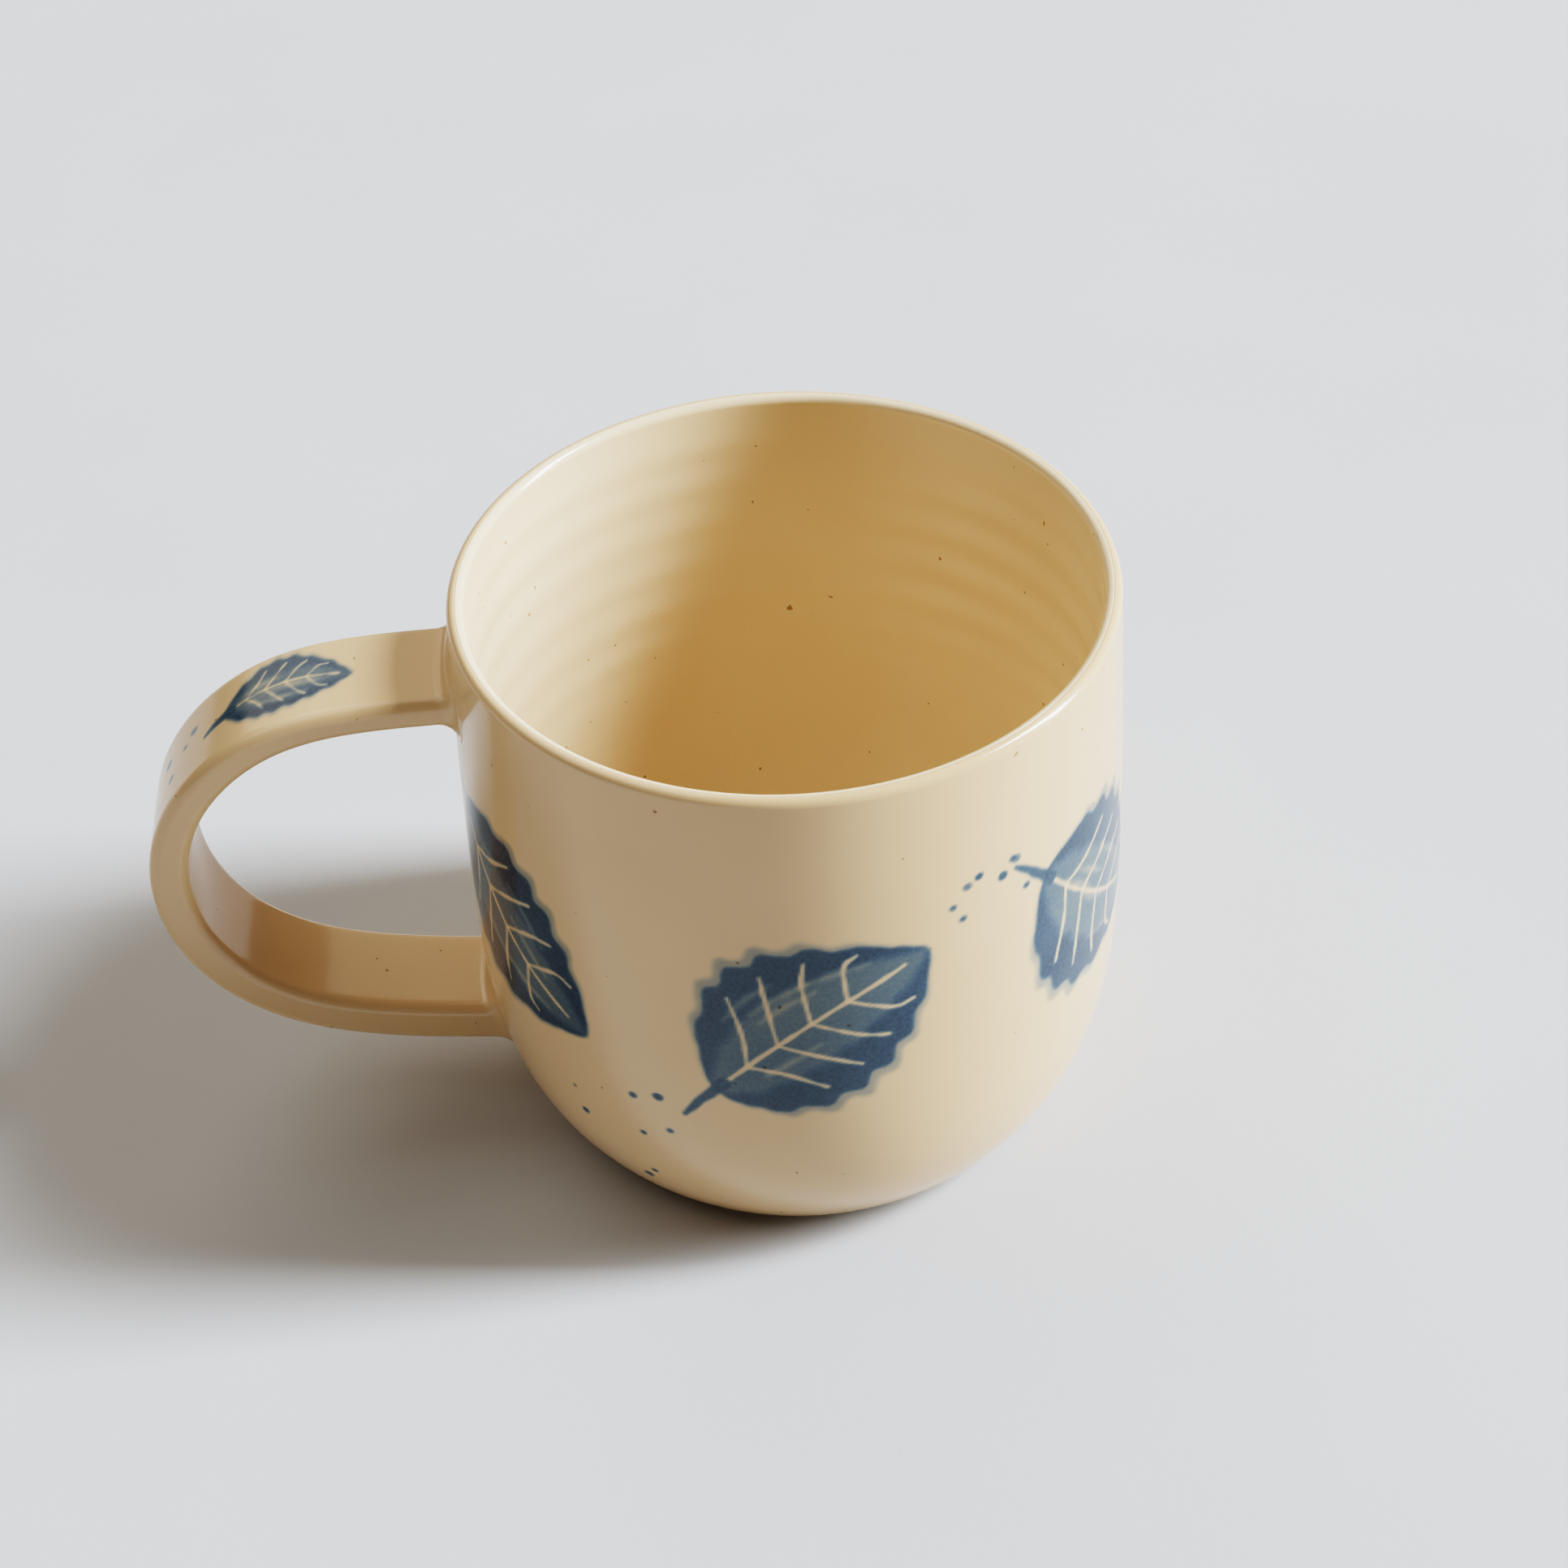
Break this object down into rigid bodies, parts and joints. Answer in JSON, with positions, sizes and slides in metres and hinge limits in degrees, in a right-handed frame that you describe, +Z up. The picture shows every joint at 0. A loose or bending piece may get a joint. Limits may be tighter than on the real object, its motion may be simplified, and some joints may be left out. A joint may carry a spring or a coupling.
{
  "type": "stoneware mug",
  "caption": "Hand-thrown stoneware mug with a rounded lower body, thin lip, pulled strap handle and clear glaze over cobalt brushwork, for hot drinks",
  "frame": {"origin": "centre of the cup's resting face, on the cup's axis", "axes": "+Z up along the cup's axis; -X towards the handle, so X is the longest extent; -Y is the side seen first"},
  "size_m": [0.1291, 0.0876, 0.083],
  "materials": {
    "clay": "bare fired stoneware, fine sandy texture",
    "slip": "smoothed slip under the glaze",
    "liner_glaze": "glossy clear liner glaze over pale buff clay",
    "outer_glaze": "glossy clear glaze over pale buff clay with cobalt brushwork"
  },
  "bodies": {
    "root": {"cup_body": "clay", "handle_strap": "clay", "upper_joint_slip": "slip", "lower_joint_slip": "slip", "liner_glaze": "liner_glaze", "outer_glaze": "outer_glaze", "handle_glaze": "outer_glaze"}
  },
  "joints": []
}
